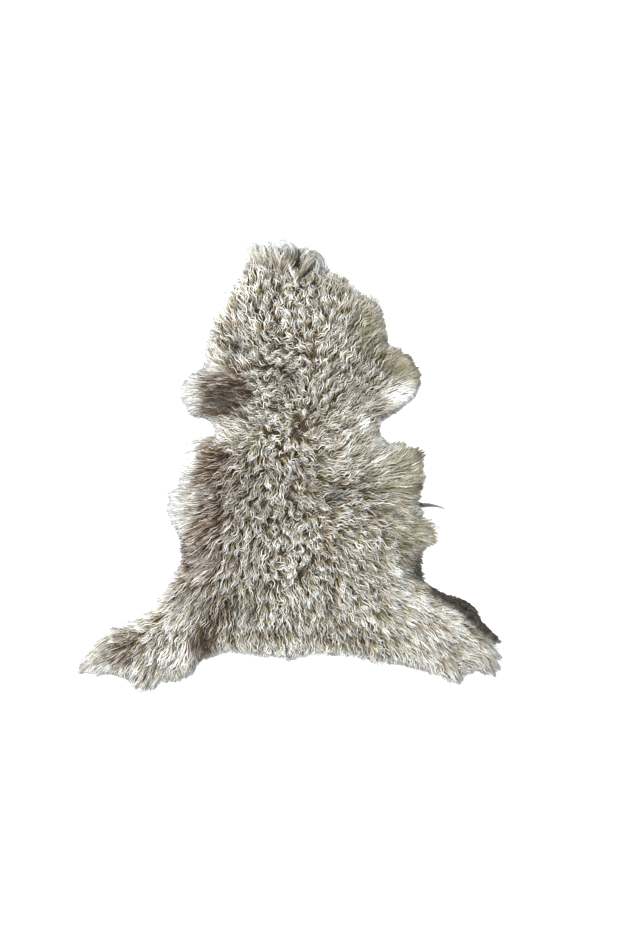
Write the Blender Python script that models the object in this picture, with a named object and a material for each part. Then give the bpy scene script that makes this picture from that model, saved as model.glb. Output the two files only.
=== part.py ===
"""A whole sheepskin lying flat, wool side up: the tanned hide, and the fleece that grows from it.

Metres, +Z up, the neck towards +Y. The hide lies on z = 0, and the origin is under the middle of the box.
"""

import math
import random

import bmesh
import bpy
from mathutils import Vector, geometry, noise

MM = 0.001

# Driving sizes
HIDE_THICK = 2.0 * MM
HIDE_TO_WOOL = 0.3 * MM
OUTLINE_STEP = 7.0 * MM  # between the points of the tips' outline
HIDE_STEP = 14.0 * MM  # between the points of the hide's outline
WOOL_OVER_HIDE = 5.0 * MM  # the fleece's own edge past the hide's edge
RIM_DEPTH = 15.0 * MM  # top of the wool above the floor, at the fleece's own edge
FULL_DEPTH = 38.0 * MM  # top of the wool above the floor, along the back
SHOULDER = 65.0 * MM  # the wool reaches its full depth this far in from its edge
LUMP_GRID = 19.0 * MM  # spacing of the points that carry the lumps
WHORL = {"x": 23.0 * MM, "y": -53.0 * MM}  # the wool is brushed outwards from here

# The outline that the lock tips reach, in millimetres, clockwise from the nape. In each section the locks stand
# out past the fleece's own edge by its reach.
RIM_SECTIONS = (
    {"name": "nape", "reach": 16, "outline": ((-93, 491), (-40, 499), (22, 487), (60, 471))},
    {"name": "neck_right", "reach": 13, "outline": (
        (84, 440), (127, 434), (150, 398), (200, 374), (217, 310), (227, 272),
    )},
    {"name": "foreleg_right", "reach": 11, "outline": (
        (254, 256), (290, 225), (294, 175), (250, 127), (207, 98), (212, 62),
    )},
    {"name": "flank_right", "reach": 13, "outline": (
        (262, 57), (297, 35), (305, -20), (293, -85), (331, -148), (302, -190), (302, -245),
    )},
    {"name": "hind_leg_right", "reach": 18, "outline": (
        (347, -282), (402, -308), (460, -378), (474, -425), (455, -464), (409, -458), (368, -484),
        (300, -455), (209, -437),
    )},
    {"name": "rump", "reach": 17, "outline": ((133, -420), (50, -418), (-10, -430), (-135, -412))},
    {"name": "hind_leg_left", "reach": 18, "outline": (
        (-188, -431), (-228, -474), (-276, -474), (-324, -498), (-364, -471), (-468, -457), (-455, -412),
        (-405, -362), (-300, -297),
    )},
    {"name": "flank_left", "reach": 16, "outline": (
        (-250, -215), (-252, -165), (-280, -95), (-256, -35), (-243, 12), (-180, 66),
    )},
    {"name": "foreleg_left", "reach": 11, "outline": ((-176, 92), (-225, 116), (-246, 165), (-222, 210))},
    {"name": "neck_left", "reach": 15, "outline": ((-190, 258), (-172, 325), (-118, 431))},
)

# Where the wool is shorter or deeper than on the back, in millimetres: centre, radius and share of the depth
DEPTH_PATCHES = (
    {"name": "foreleg_right", "x": 262, "y": 190, "radius": 75, "share": 0.60},
    {"name": "foreleg_left", "x": -215, "y": 160, "radius": 65, "share": 0.60},
    {"name": "flank_right", "x": 290, "y": -90, "radius": 85, "share": 0.75},
    {"name": "flank_left", "x": -240, "y": -90, "radius": 75, "share": 0.80},
    {"name": "shank_right", "x": 420, "y": -400, "radius": 125, "share": 0.65},
    {"name": "shank_left", "x": -400, "y": -420, "radius": 125, "share": 0.65},
    {"name": "nape", "x": -10, "y": 440, "radius": 85, "share": 1.12},
)

# The lumps that the locks make together, in millimetres
LUMPS = ({"size": 62, "height": 12.0}, {"size": 36, "height": 10.0})

# A rim lock grows out of the fleece's wall ring by ring: share of its length, share of its root's width,
# and the height of its top and underside above the floor in millimetres
LOCK_RINGS = (
    {"at": 0.55, "wide": 0.80, "top": 10.0, "under": 0.9},
    {"at": 1.0, "wide": 0.16, "top": 2.2, "under": 0.6},
)
# Widths of a root and of the parting after it, in turn
LOCK_ROOTS = (13.0 * MM, 4.0 * MM, 9.0 * MM, 3.5 * MM, 15.0 * MM, 4.5 * MM)
LOCK_ROOM = 11.5 * MM  # between the middles of two locks
LOCK_LENGTHS = (0.55, 1.35)  # shortest and longest, as shares of the section's reach
LOCK_BENDS = (-0.28, 0.28)  # how far a tip bends aside, as a share of the lock's length
LOCK_BRUSHED = 0.5  # how much the locks lean away from the whorl
LOCK_SEED = 11

# One long stray lock stands out from the right flank, in millimetres
STRAY_LOCK = {"x": 292, "y": -85, "length": 38, "bend": -4}


def clear_scene():
    for obj in list(bpy.data.objects):
        bpy.data.objects.remove(obj, do_unlink=True)


def new_material(name, colour, roughness):
    made = bpy.data.materials.new(name)
    made.use_nodes = True
    shader = made.node_tree.nodes["Principled BSDF"]
    shader.inputs["Base Color"].default_value = (*colour, 1.0)
    shader.inputs["Roughness"].default_value = roughness
    return made


def flat(x, y):
    return Vector((x, y, 0.0))


def smooth_loop(points, steps=12):
    """A closed Catmull-Rom curve through the points."""
    made = []
    for i in range(len(points)):
        before, start, end, after = (points[(i + k) % len(points)] for k in (-1, 0, 1, 2))
        for step in range(steps):
            t = step / steps
            straight = 2 * start + (end - before) * t
            bent = (2 * before - 5 * start + 4 * end - after) * t**2
            turned = (3 * start - before - 3 * end + after) * t**3
            made.append((straight + bent + turned) / 2)
    return made


def spaced_loop(points, gaps):
    """The closed loop with its points about as far apart as the gaps say, which are taken in turn."""
    sides = [(points[(i + 1) % len(points)] - p).length for i, p in enumerate(points)]
    rounds = round(sum(sides) / sum(gaps))
    scale = sum(sides) / (rounds * sum(gaps))
    made = []
    i = 0
    passed = wanted = 0.0
    for k in range(rounds * len(gaps)):
        while passed + sides[i] < wanted:
            passed += sides[i]
            i += 1
        share = (wanted - passed) / sides[i]
        made.append(points[i].lerp(points[(i + 1) % len(points)], share))
        wanted += gaps[k % len(gaps)] * scale
    return made


def edge_distance(loop, place):
    """How far the place is from the loop's edge."""
    nearest = float("inf")
    for i, start in enumerate(loop):
        side = loop[(i + 1) % len(loop)] - start
        share = max(0.0, min(1.0, (place - start).dot(side) / side.length_squared))
        nearest = min(nearest, (place - start - share * side).length_squared)
    return math.sqrt(nearest)


def outward(start, end):
    """The direction out of a clockwise loop, square to its side from start to end."""
    return Vector((start.y - end.y, end.x - start.x, 0.0)).normalized()


def inset_loop(loop, distances):
    """The loop moved inwards by a distance for each point, without the crossings that this makes in sharp toes."""
    made = []
    for i, distance in enumerate(distances):
        moved = loop[i] - outward(loop[i - 1], loop[(i + 1) % len(loop)]) * distance
        if edge_distance(loop, moved) > 0.97 * distance:
            made.append(moved)
    return made


def nearest_index(places, place):
    return min(range(len(places)), key=lambda k: (places[k] - place).length_squared)


def tip_outline():
    """The outline of the lock tips, and for each of its points the reach of the locks there."""
    corners = [flat(x, y) * MM for section in RIM_SECTIONS for x, y in section["outline"]]
    reaches = [section["reach"] * MM for section in RIM_SECTIONS for _ in section["outline"]]
    loop = spaced_loop(smooth_loop(corners), (OUTLINE_STEP,))
    return loop, [reaches[nearest_index(corners, p)] for p in loop]


def make_hide(loop, collection, material):
    """The tanned skin: a flat sheet, cut to the skin's outline."""
    curve = bpy.data.curves.new("hide", "CURVE")
    curve.dimensions = "2D"
    curve.fill_mode = "BOTH"
    curve.extrude = HIDE_THICK / 2
    curve.materials.append(material)
    spline = curve.splines.new("POLY")
    spline.points.add(len(loop) - 1)
    for point, place in zip(spline.points, loop):
        point.co = (place.x, place.y, 0.0, 1.0)
    spline.use_cyclic_u = True
    hide = bpy.data.objects.new("hide", curve)
    hide.location.z = HIDE_THICK / 2
    collection.objects.link(hide)
    return hide


def wool_top(loop, place):
    """Height of the wool's top above the floor, where the loop is the fleece's own edge."""
    rise = math.sin(math.pi / 2 * min(1.0, edge_distance(loop, place) / SHOULDER))
    share = 1.0
    for patch in DEPTH_PATCHES:
        away = (place - flat(patch["x"], patch["y"]) * MM).length / (patch["radius"] * MM)
        share += (patch["share"] - 1.0) * math.exp(-(away**2))
    lumps = sum(lump["height"] * MM * noise.noise(place / (lump["size"] * MM / 2)) for lump in LUMPS)
    return RIM_DEPTH + ((FULL_DEPTH - RIM_DEPTH) * share + lumps) * rise


def grid_points(loop):
    """Staggered rows of points over the loop's box, none of them close to the loop's edge."""
    made = []
    row_step = LUMP_GRID * math.sqrt(3) / 2
    corner = flat(min(p.x for p in loop), min(p.y for p in loop))
    columns = round((max(p.x for p in loop) - corner.x) / LUMP_GRID)
    rows = round((max(p.y for p in loop) - corner.y) / row_step)
    for row in range(rows):
        for column in range(columns):
            place = corner + flat((column + row % 2 / 2) * LUMP_GRID, (row + 0.5) * row_step)
            if edge_distance(loop, place) > LUMP_GRID / 2:
                made.append(place)
    return made


def make_slab(loop):
    """The wool as one lumpy slab, with the wall face under each side of its edge."""
    shape = bmesh.new()
    spots = [place.xy for place in loop + grid_points(loop)]
    sides = [(i, (i + 1) % len(loop)) for i in range(len(loop))]
    inside_only = 1
    spots, _, triangles, *_ = geometry.delaunay_2d_cdt(spots, sides, [], inside_only, 1e-6)
    for spot in spots:
        place = flat(*spot)
        place.z = wool_top(loop, place)
        shape.verts.new(place)
    shape.verts.ensure_lookup_table()
    for triangle in triangles:
        shape.faces.new([shape.verts[i] for i in triangle])
    bmesh.ops.recalc_face_normals(shape, faces=shape.faces)
    rim = [shape.edges.get((shape.verts[i], shape.verts[j])) for i, j in sides]
    lower = bmesh.ops.extrude_edge_only(shape, edges=rim)["geom"]
    for vert in lower:
        if isinstance(vert, bmesh.types.BMVert):
            vert.co.z = HIDE_THICK + HIDE_TO_WOOL
    lower_edges = [edge for edge in lower if isinstance(edge, bmesh.types.BMEdge) and edge.is_boundary]
    bmesh.ops.contextual_create(shape, geom=lower_edges)
    loose = [vert for vert in shape.verts if not vert.link_faces]
    bmesh.ops.delete(shape, geom=loose, context="VERTS")
    bmesh.ops.recalc_face_normals(shape, faces=shape.faces)
    walls = [next(face for face in edge.link_faces if len(face.verts) == 4) for edge in rim]
    return shape, walls


def grow_lock(shape, wall, way, length, bend):
    """Draws a lock out of a wall face, ring by ring down to the floor and to its tip."""
    root = wall.calc_center_median()
    aside = Vector((-way.y, way.x, 0.0))
    half_width = max(abs((vert.co - root).dot(aside)) for vert in wall.verts)
    end = wall
    for ring in LOCK_RINGS:
        centre = end.calc_center_median()
        end = bmesh.ops.extrude_discrete_faces(shape, faces=[end])["faces"][0]
        middle = root + way * length * ring["at"] + aside * bend * ring["at"] ** 2
        for vert in end.verts:
            side = math.copysign(half_width * ring["wide"], (vert.co - centre).dot(aside))
            height = ring["top"] if vert.co.z > centre.z else ring["under"]
            vert.co = middle + aside * side
            vert.co.z = height * MM


def grow_rim_locks(shape, walls, loop, tips, reaches):
    """A lock on every second wall face, where the locks already there leave it room."""
    chance = random.Random(LOCK_SEED)
    grown = []
    stray = flat(STRAY_LOCK["x"], STRAY_LOCK["y"]) * MM
    stray_side = 2 * nearest_index(loop[::2], stray)
    for i in range(0, len(loop), 2):
        place = (loop[i] + loop[(i + 1) % len(loop)]) / 2
        brushed = (place - flat(WHORL["x"], WHORL["y"])).normalized()
        way = (outward(loop[i], loop[(i + 1) % len(loop)]) + brushed * LOCK_BRUSHED).normalized()
        length = reaches[nearest_index(tips, place)] * chance.uniform(*LOCK_LENGTHS)
        bend = length * chance.uniform(*LOCK_BENDS)
        if i == stray_side:
            length = STRAY_LOCK["length"] * MM
            bend = STRAY_LOCK["bend"] * MM
        middle = place + way * length / 2
        if all((middle - other).length > LOCK_ROOM for other in grown):
            grown.append(middle)
            grow_lock(shape, walls[i], way, length, bend)


def make_fleece(loop, tips, reaches, collection, material):
    shape, walls = make_slab(loop)
    grow_rim_locks(shape, walls, loop, tips, reaches)
    mesh = bpy.data.meshes.new("fleece")
    shape.to_mesh(mesh)
    shape.free()
    mesh.materials.append(material)
    fleece = bpy.data.objects.new("fleece", mesh)
    collection.objects.link(fleece)
    return fleece


def centre_on_origin(hide, fleece, collection):
    """Puts both under one empty, moved so that the origin is under the middle of the fleece's box."""
    xs = [vert.co.x for vert in fleece.data.vertices]
    ys = [vert.co.y for vert in fleece.data.vertices]
    base = bpy.data.objects.new("sheepskin_base", None)
    base.location = (-(min(xs) + max(xs)) / 2, -(min(ys) + max(ys)) / 2, 0.0)
    collection.objects.link(base)
    hide.parent = base
    fleece.parent = base


def main():
    clear_scene()
    collection = bpy.data.collections.new("sheepskin")
    bpy.context.scene.collection.children.link(collection)
    suede = new_material("tanned_suede", (0.61, 0.49, 0.36), 0.9)
    wool = new_material("taupe_wool", (0.36, 0.29, 0.21), 0.85)
    tips, reaches = tip_outline()
    hide_edge = spaced_loop(inset_loop(tips, [reach + WOOL_OVER_HIDE for reach in reaches]), (HIDE_STEP,))
    fleece_edge = spaced_loop(inset_loop(tips, reaches), LOCK_ROOTS)
    hide = make_hide(hide_edge, collection, suede)
    fleece = make_fleece(fleece_edge, tips, reaches, collection, wool)
    centre_on_origin(hide, fleece, collection)


main()
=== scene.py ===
"""A whole sheepskin laid flat with its wool up: suede hide, matted underwool, thousands of combed wisps."""

import math

import bmesh
import bpy
import numpy as np
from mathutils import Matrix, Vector, noise
from mathutils.bvhtree import BVHTree
from mathutils.kdtree import KDTree


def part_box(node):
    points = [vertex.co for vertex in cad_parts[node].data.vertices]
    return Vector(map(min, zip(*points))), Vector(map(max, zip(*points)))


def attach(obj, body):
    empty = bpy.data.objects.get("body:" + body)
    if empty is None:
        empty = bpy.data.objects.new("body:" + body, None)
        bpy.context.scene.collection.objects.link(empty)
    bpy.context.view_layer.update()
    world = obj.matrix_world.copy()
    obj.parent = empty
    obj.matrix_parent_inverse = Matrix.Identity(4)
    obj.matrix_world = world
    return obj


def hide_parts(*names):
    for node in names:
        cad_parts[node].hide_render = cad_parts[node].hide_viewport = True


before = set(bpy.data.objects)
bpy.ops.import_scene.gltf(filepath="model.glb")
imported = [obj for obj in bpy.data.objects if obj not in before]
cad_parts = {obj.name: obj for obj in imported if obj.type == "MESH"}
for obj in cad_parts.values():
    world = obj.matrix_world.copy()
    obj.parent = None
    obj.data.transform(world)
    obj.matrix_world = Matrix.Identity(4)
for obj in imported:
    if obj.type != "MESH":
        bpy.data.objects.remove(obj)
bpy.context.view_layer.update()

MM = 0.001
SEED = 2611
UP = Vector((0.0, 0.0, 1.0))

# The photograph is 621 by 931 pixels, and one pixel is 2.2 mm at the sheepskin
PHOTO_WIDE, PHOTO_HIGH = 621, 931
PIXEL = 2.2 * MM
SKIN_CENTRE_PX = (289.5, 466.0)

# Kinds of wool, in millimetres and degrees. length: of a lock; wave, pitch: size and length of its crimp;
# mess: how far locks stray from the lie; curl: how far a tip turns to either side; lift: how high tips lie
# over the locks below; gather: how close the wisps of a lock come at its tip; depth: how dark and uneven the
# wool is between the tips; fine: width of a wisp
WOOL_COLUMNS = ("length", "wave", "pitch", "mess", "curl", "lift", "gather", "depth", "fine")
WOOL_KINDS = {
    "ringlets": (50, 4.2, 30, 20, 50, 10, 0.55, 1.00, 2.3),
    "curls": (42, 3.2, 21, 55, 75, 7, 0.30, 1.00, 2.1),
    "waves": (58, 3.5, 28, 12, 18, 9, 0.34, 1.00, 2.1),
    "long": (66, 2.2, 29, 11, 15, 7, 0.35, 0.87, 2.1),
    "shaded": (54, 0.9, 28, 9, 9, 4, 0.25, 0.85, 1.9),
    "smooth": (54, 0.5, 28, 7, 7, 3, 0.20, 0.50, 1.8),
}

# How the wool lies and is coloured in each part of the skin, in millimetres and degrees: its kind, and then
# x, y, radius: where; lie: which way it lies, 0 to the right and 90 to the neck; bend: how far it turns on
# along a lock, to the left where above 0; brown, cream, khaki: share of each tint
PATCH_COLUMNS = ("x", "y", "radius", "lie", "bend", "brown", "cream", "khaki")
WOOL_PATCHES = (
    ("nape", (
        ("long", -78, 471, 34, 118, 15, 0.1, 0.75, 0), ("ringlets", -17, 462, 38, 95, 70, 0.1, 0.6, 0),
        ("ringlets", 52, 442, 40, 65, -80, 0.25, 0.4, 0.15),
    )),
    ("neck_left", (
        ("long", -135, 365, 50, 132, 0, 0.1, 0.25, 0), ("waves", -148, 277, 45, 135, 0, 0.35, 0.2, 0),
    )),
    ("neck", (
        ("waves", -65, 354, 50, 103, 0, 0.15, 0.15, 0), ("curls", 23, 310, 55, 70, 0, 0.08, 0.08, 0),
        ("curls", 8, 244, 45, 200, 0, 0.15, 0.05, 0.1), ("waves", -75, 250, 50, 115, 0, 0.2, 0.15, 0.1),
        ("waves", 100, 354, 45, 100, -20, 0.1, 0.3, 0), ("waves", 100, 250, 50, 60, 0, 0.1, 0.25, 0.1),
    )),
    ("neck_right", (
        ("long", 160, 354, 45, 55, 0, 0.05, 0.1, 0.6), ("long", 182, 277, 45, 30, 0, 0.1, 0.05, 0.8),
    )),
    ("shoulders", (("waves", 168, 205, 45, 55, 0, 0.25, 0.2, 0.25),)),
    ("foreleg_left", (
        ("shaded", -165, 160, 46, 190, 0, 1, 0, 0), ("shaded", -135, 150, 38, 170, 0, 1, 0, 0),
        ("smooth", -164, 216, 30, 150, 20, 0.45, 0.3, 0), ("smooth", -228, 160, 32, 180, 10, 0, 1, 0),
    )),
    ("foreleg_right", (
        ("smooth", 247, 229, 46, 20, 0, 0.15, 0, 1), ("smooth", 238, 164, 28, 15, 0, 0, 0.3, 0.12),
        ("smooth", 205, 126, 28, 10, 0, 0.3, 0, 0.7),
    )),
    ("shoulders", (
        ("curls", -10, 190, 36, 260, 0, 0.4, 0, 0.25), ("curls", -15, 120, 55, 150, 0, 0.12, 0.12, 0.1),
        ("waves", 89, 112, 50, 42, 0, 0.15, 0.1, 0.15), ("long", -109, 84, 45, 148, 0, 0.05, 0.15, 0.35),
        ("long", 150, 100, 40, 35, 0, 0.05, 0.35, 0.35),
    )),
    ("flank_left", (
        ("smooth", -176, 76, 26, 165, 0, 0.2, 0.5, 0), ("shaded", -178, 12, 38, 168, 10, 0.9, 0, 0),
        ("shaded", -175, -62, 36, 178, 0, 0.75, 0, 0), ("shaded", -173, -118, 40, 190, 0, 0.85, 0, 0),
        ("smooth", -235, 20, 26, 172, 0, 0, 0.7, 0), ("smooth", -254, -86, 38, 187, 0, 0, 0.95, 0),
        ("shaded", -184, -190, 42, 200, 0, 0.75, 0, 0),
    )),
    ("back_upper", (
        ("waves", -109, -32, 52, 225, 0, 0.45, 0.05, 0), ("curls", -10, 30, 52, 300, 0, 0.1, 0.1, 0.05),
        ("curls", -32, -76, 55, 262, 0, 0.32, 0.08, 0), ("long", 111, 46, 52, 38, 0, 0.05, 0.15, 0.3),
        ("curls", 62, 52, 34, 350, 0, 0.15, 0.1, 0.1), ("waves", 102, -60, 48, 10, 0, 0.25, 0.05, 0.15),
    )),
    ("back_lower", (
        ("waves", -105, -150, 55, 255, 0, 0.3, 0.05, 0), ("curls", -10, -175, 58, 280, 0, 0.08, 0.1, 0),
        ("waves", 140, -150, 60, 322, 0, 0.05, 0.12, 0.15),
    )),
    ("flank_right", (
        ("long", 195, 30, 45, 30, 0, 0, 0.3, 0.5), ("smooth", 262, -9, 45, 15, 0, 0.05, 0, 1),
        ("long", 232, -100, 42, 345, 0, 0.05, 0.1, 0.6), ("smooth", 302, -145, 38, 12, -45, 0.1, 0, 0.9),
    )),
    ("hind_leg_right", (("smooth", 292, -222, 26, 335, 0, 0.5, 0, 0.3),)),
    ("loin", (
        ("waves", -110, -268, 52, 258, 0, 0.3, 0.05, 0), ("waves", -158, -320, 34, 250, 0, 0.75, 0, 0),
        ("waves", 1, -273, 58, 280, 0, 0.05, 0.12, 0), ("waves", 122, -273, 58, 310, 0, 0.05, 0.12, 0.05),
    )),
    ("rump", (
        ("waves", -105, -375, 48, 266, 0, 0.05, 0.2, 0.15), ("waves", 23, -375, 55, 275, 0, 0.05, 0.2, 0),
        ("waves", 144, -385, 55, 292, 0, 0.05, 0.22, 0.05),
    )),
    ("hind_leg_right", (
        ("long", 235, -262, 45, 338, 0, 0, 0.25, 0.15), ("long", 254, -350, 50, 320, 0, 0.1, 0.1, 0.25),
        ("long", 276, -420, 45, 308, 0, 0.1, 0.25, 0.05), ("long", 364, -393, 42, 325, 0, 0.15, 0.35, 0.1),
        ("smooth", 345, -292, 28, 335, -25, 0.2, 0, 0.1), ("shaded", 385, -320, 26, 338, -35, 0.25, 0, 0.1),
        ("shaded", 425, -352, 28, 328, -30, 0.35, 0, 0.1), ("smooth", 436, -408, 22, 325, 0, 0, 1, 0),
    )),
    ("hind_leg_left", (
        ("long", -205, -290, 50, 232, 0, 0.52, 0.05, 0), ("waves", -263, -372, 42, 238, 0, 0.12, 0.25, 0),
        ("shaded", -190, -385, 28, 272, 0, 0.9, 0, 0.1), ("shaded", -368, -406, 27, 217, 0, 0.7, 0, 0.1),
        ("smooth", -434, -408, 30, 222, 0, 0.05, 1, 0),
        ("shaded", -310, -325, 40, 217, 0, 0.35, 0.05, 0.05), ("long", -255, -436, 26, 245, 0, 0, 0.9, 0),
        ("long", -322, -458, 30, 240, 0, 0.05, 0.6, 0),
    )),
)

# For each piece: wisps in a lock, and rings in a wisp
PIECE_WISPS = {
    "nape": (8, 8), "neck_left": (9, 6), "neck": (6, 7), "neck_right": (9, 6), "foreleg_left": (13, 4),
    "foreleg_right": (13, 4), "shoulders": (6, 7), "flank_left": (12, 4), "back_upper": (6, 7),
    "back_lower": (6, 7), "flank_right": (10, 5), "loin": (6, 7), "rump": (6, 7), "hind_leg_left": (9, 5),
    "hind_leg_right": (8, 5),
}

# Single tufts that stand out over the rest at the nape, along the rump, on the hind legs and in the left
# armpit: width and lift, and the places that each runs through from its root to its tip, in millimetres
TUFT_WISPS, TUFT_RINGS = 1.25, 12  # wisps for each millimetre of width, and rings in each
TUFT_ROOM = 7 * MM  # no other lock is rooted nearer to the lower half of one
TUFT_WAVE, TUFT_WAVES = 1.3 * MM, 2.2  # size and number of the waves in a wisp
TUFTS = (
    ("corner", 20, 12, ((-70, 430), (-79, 451), (-87, 471), (-95, 490))),
    ("corner_middle", 20, 14, ((-60, 430), (-67, 453), (-75, 476), (-82, 498))),
    ("corner_right", 18, 14, ((-49, 432), (-54, 454), (-60, 475), (-65, 496))),
    ("ringlet", 10, 16, ((-60, 434), (-56, 447), (-47, 453), (-40, 446), (-43, 434))),
    ("flame", 15, 20, ((-24, 422), (-30, 446), (-39, 468), (-45, 486), (-39, 503))),
    ("flame_beside", 14, 18, ((-18, 424), (-23, 448), (-28, 468), (-34, 484), (-36, 494))),
    ("big_hook", 20, 22, (
        (-18, 416), (-5, 440), (7, 457), (11, 473), (2, 488), (-11, 497), (-23, 494), (-25, 484),
    )),
    ("hook_middle", 19, 24, (
        (-20, 418), (-12, 442), (0, 462), (3, 478), (-5, 488), (-18, 487), (-23, 479),
    )),
    ("hook_inner", 15, 21, ((-22, 422), (-18, 446), (-12, 464), (-11, 478), (-19, 484))),
    ("behind_hook", 14, 9, ((16, 450), (20, 466), (27, 478), (36, 484), (45, 480))),
    ("ball_outer", 18, 20, ((26, 420), (33, 443), (41, 461), (53, 469), (66, 462), (73, 448), (72, 431))),
    ("ball_middle", 17, 23, ((20, 410), (34, 432), (46, 448), (57, 458), (64, 450), (61, 434), (56, 420))),
    ("ball_inner", 15, 24, ((16, 402), (26, 424), (36, 442), (43, 455), (38, 466), (29, 462), (28, 450))),
    ("under_hook", 11, 17, ((2, 452), (1, 436), (6, 422))),
    ("under_ball", 15, 18, ((28, 434), (18, 420), (14, 404), (20, 388))),
    ("loose_curl", 6, 15, ((30, 404), (37, 413), (46, 410), (44, 401), (35, 400))),
    ("right_edge", 12, 12, ((62, 414), (74, 426), (86, 440))),
    ("rump_left", 8, 9, ((-88, -388), (-89, -400), (-86, -413), (-89, -424))),
    ("rump_middle", 9, 9, ((-8, -380), (-12, -392), (-15, -406), (-9, -421), (-12, -435))),
    ("rump_beside", 9, 9, ((6, -382), (9, -394), (14, -411), (9, -421), (12, -431))),
    ("rump_right", 8, 9, ((54, -380), (52, -393), (57, -406), (50, -419))),
    ("leg_left_tuft", 13, 9, ((-286, -412), (-302, -445), (-312, -470), (-323, -494))),
    ("leg_left_tuft_outer", 12, 8, ((-304, -424), (-320, -452), (-330, -472), (-345, -490))),
    ("leg_left_tuft_inner", 12, 8, ((-276, -432), (-287, -456), (-296, -474), (-308, -495))),
    ("toe_left_upper", 15, 5, ((-384, -376), (-414, -388), (-442, -410), (-463, -440))),
    ("toe_left_middle", 15, 6, ((-390, -390), (-418, -404), (-446, -426), (-468, -448))),
    ("toe_left_lower", 15, 7, ((-392, -406), (-420, -420), (-446, -438), (-470, -460))),
    ("leg_right_tuft", 13, 9, ((331, -416), (346, -440), (360, -463), (374, -485))),
    ("leg_right_tuft_beside", 12, 9, ((345, -408), (358, -432), (369, -455), (379, -476))),
    ("toe_right_lower", 13, 8, ((413, -400), (428, -424), (440, -445), (453, -466))),
    ("toe_right_middle", 12, 8, ((430, -398), (443, -418), (453, -436), (464, -453))),
    ("toe_right_streak", 15, 11, ((412, -378), (430, -395), (448, -410), (470, -427))),
    ("armpit_flap", 14, 6, ((-148, 60), (-178, 60), (-208, 55), (-236, 46))),
    ("armpit_flap_lower", 13, 6, ((-152, 46), (-182, 46), (-212, 38), (-241, 28))),
)

# Short wool along the upper rim of the right hind leg, painted dark as the shade along that rim, in
# millimetres:
# width and lift of its tufts, and the lines that they follow
BAND_STEP, BAND_LONG, BAND_OUT = 11.0, 29.0, 3.0  # between tufts, along one, and how far its tip turns out
BANDS = (
    ("band_outer", 14, 6, (
        (289, -256), (315, -276), (345, -290), (375, -300), (399, -316), (415, -341), (445, -373),
    )),
    ("band_inner", 13, 7, ((316, -287), (343, -302), (369, -312), (391, -328), (406, -352), (432, -376))),
)

# The strand that strays from the right flank, in millimetres: its line, and how it is twisted
STRAY_LINE = ((287, -84), (296, -86), (312, -86), (328, -89), (343, -94))
STRAY_WISPS, STRAY_RINGS = 13, 24
STRAY_WIDE, STRAY_TWIST = 8.5 * MM, 34 * MM
STRAY_HIGH, STRAY_LOW = 6 * MM, 3 * MM  # its middle sinks by the first to the second

# Where the tips lie farther out than the solid's own rim locks, or less far: x, y, radius and how far past,
# in millimetres
RIM_REACH = {
    "nape": ((-82, 492, 34, 13), (-111, 442, 16, -11), (-114, 470, 14, -7), (92, 440, 50, 10)),
    "neck_right": ((124, 424, 24, 14), (145, 402, 20, 4), (202, 358, 60, 12)),
    "foreleg_right": ((268, 244, 26, 9), (246, 262, 24, 10), (285, 200, 50, 5)),
    "armpit_right": ((214, 66, 30, 12), (205, 100, 18, -10)),
    "flank_right": (
        (298, 32, 24, 22), (252, 56, 15, 9), (294, -44, 22, 8), (310, -98, 13, -11), (329, -144, 35, 28),
        (302, -194, 14, -10), (300, -218, 28, 10),
    ),
    "leg_right": (
        (336, -284, 28, 18), (296, -252, 16, 8), (388, -300, 40, 20), (460, -386, 26, 17),
        (478, -412, 40, 10), (462, -452, 22, 15), (418, -464, 22, -14),
    ),
    "rump_right": ((180, -430, 40, 5),),
    "leg_right_under": ((300, -462, 45, -8),),
    "leg_left": (
        (-232, -468, 24, 4), (-197, -428, 20, 7), (-328, -496, 26, 20), (-408, -478, 32, -12),
        (-366, -476, 16, -9), (-472, -446, 35, 8), (-402, -358, 36, 13), (-444, -396, 24, 12),
        (-330, -310, 50, 6), (-296, -276, 24, 6),
    ),
    "flank_left": (
        (-272, -250, 24, 10), (-250, -202, 24, -10), (-262, -138, 38, -13), (-278, -68, 18, 6),
        (-252, -20, 24, -8),
    ),
    "armpit_left": ((-232, 38, 28, 20),),
    "foreleg_left": ((-184, 100, 30, -14), (-240, 124, 20, -7), (-238, 196, 22, 11), (-203, 224, 20, -14)),
    "neck_left": ((-142, 394, 40, 13), (-164, 362, 20, 6), (-190, 262, 24, 5)),
    "rump": ((-30, -422, 17, -11), (26, -424, 14, -6)),
}

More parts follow.
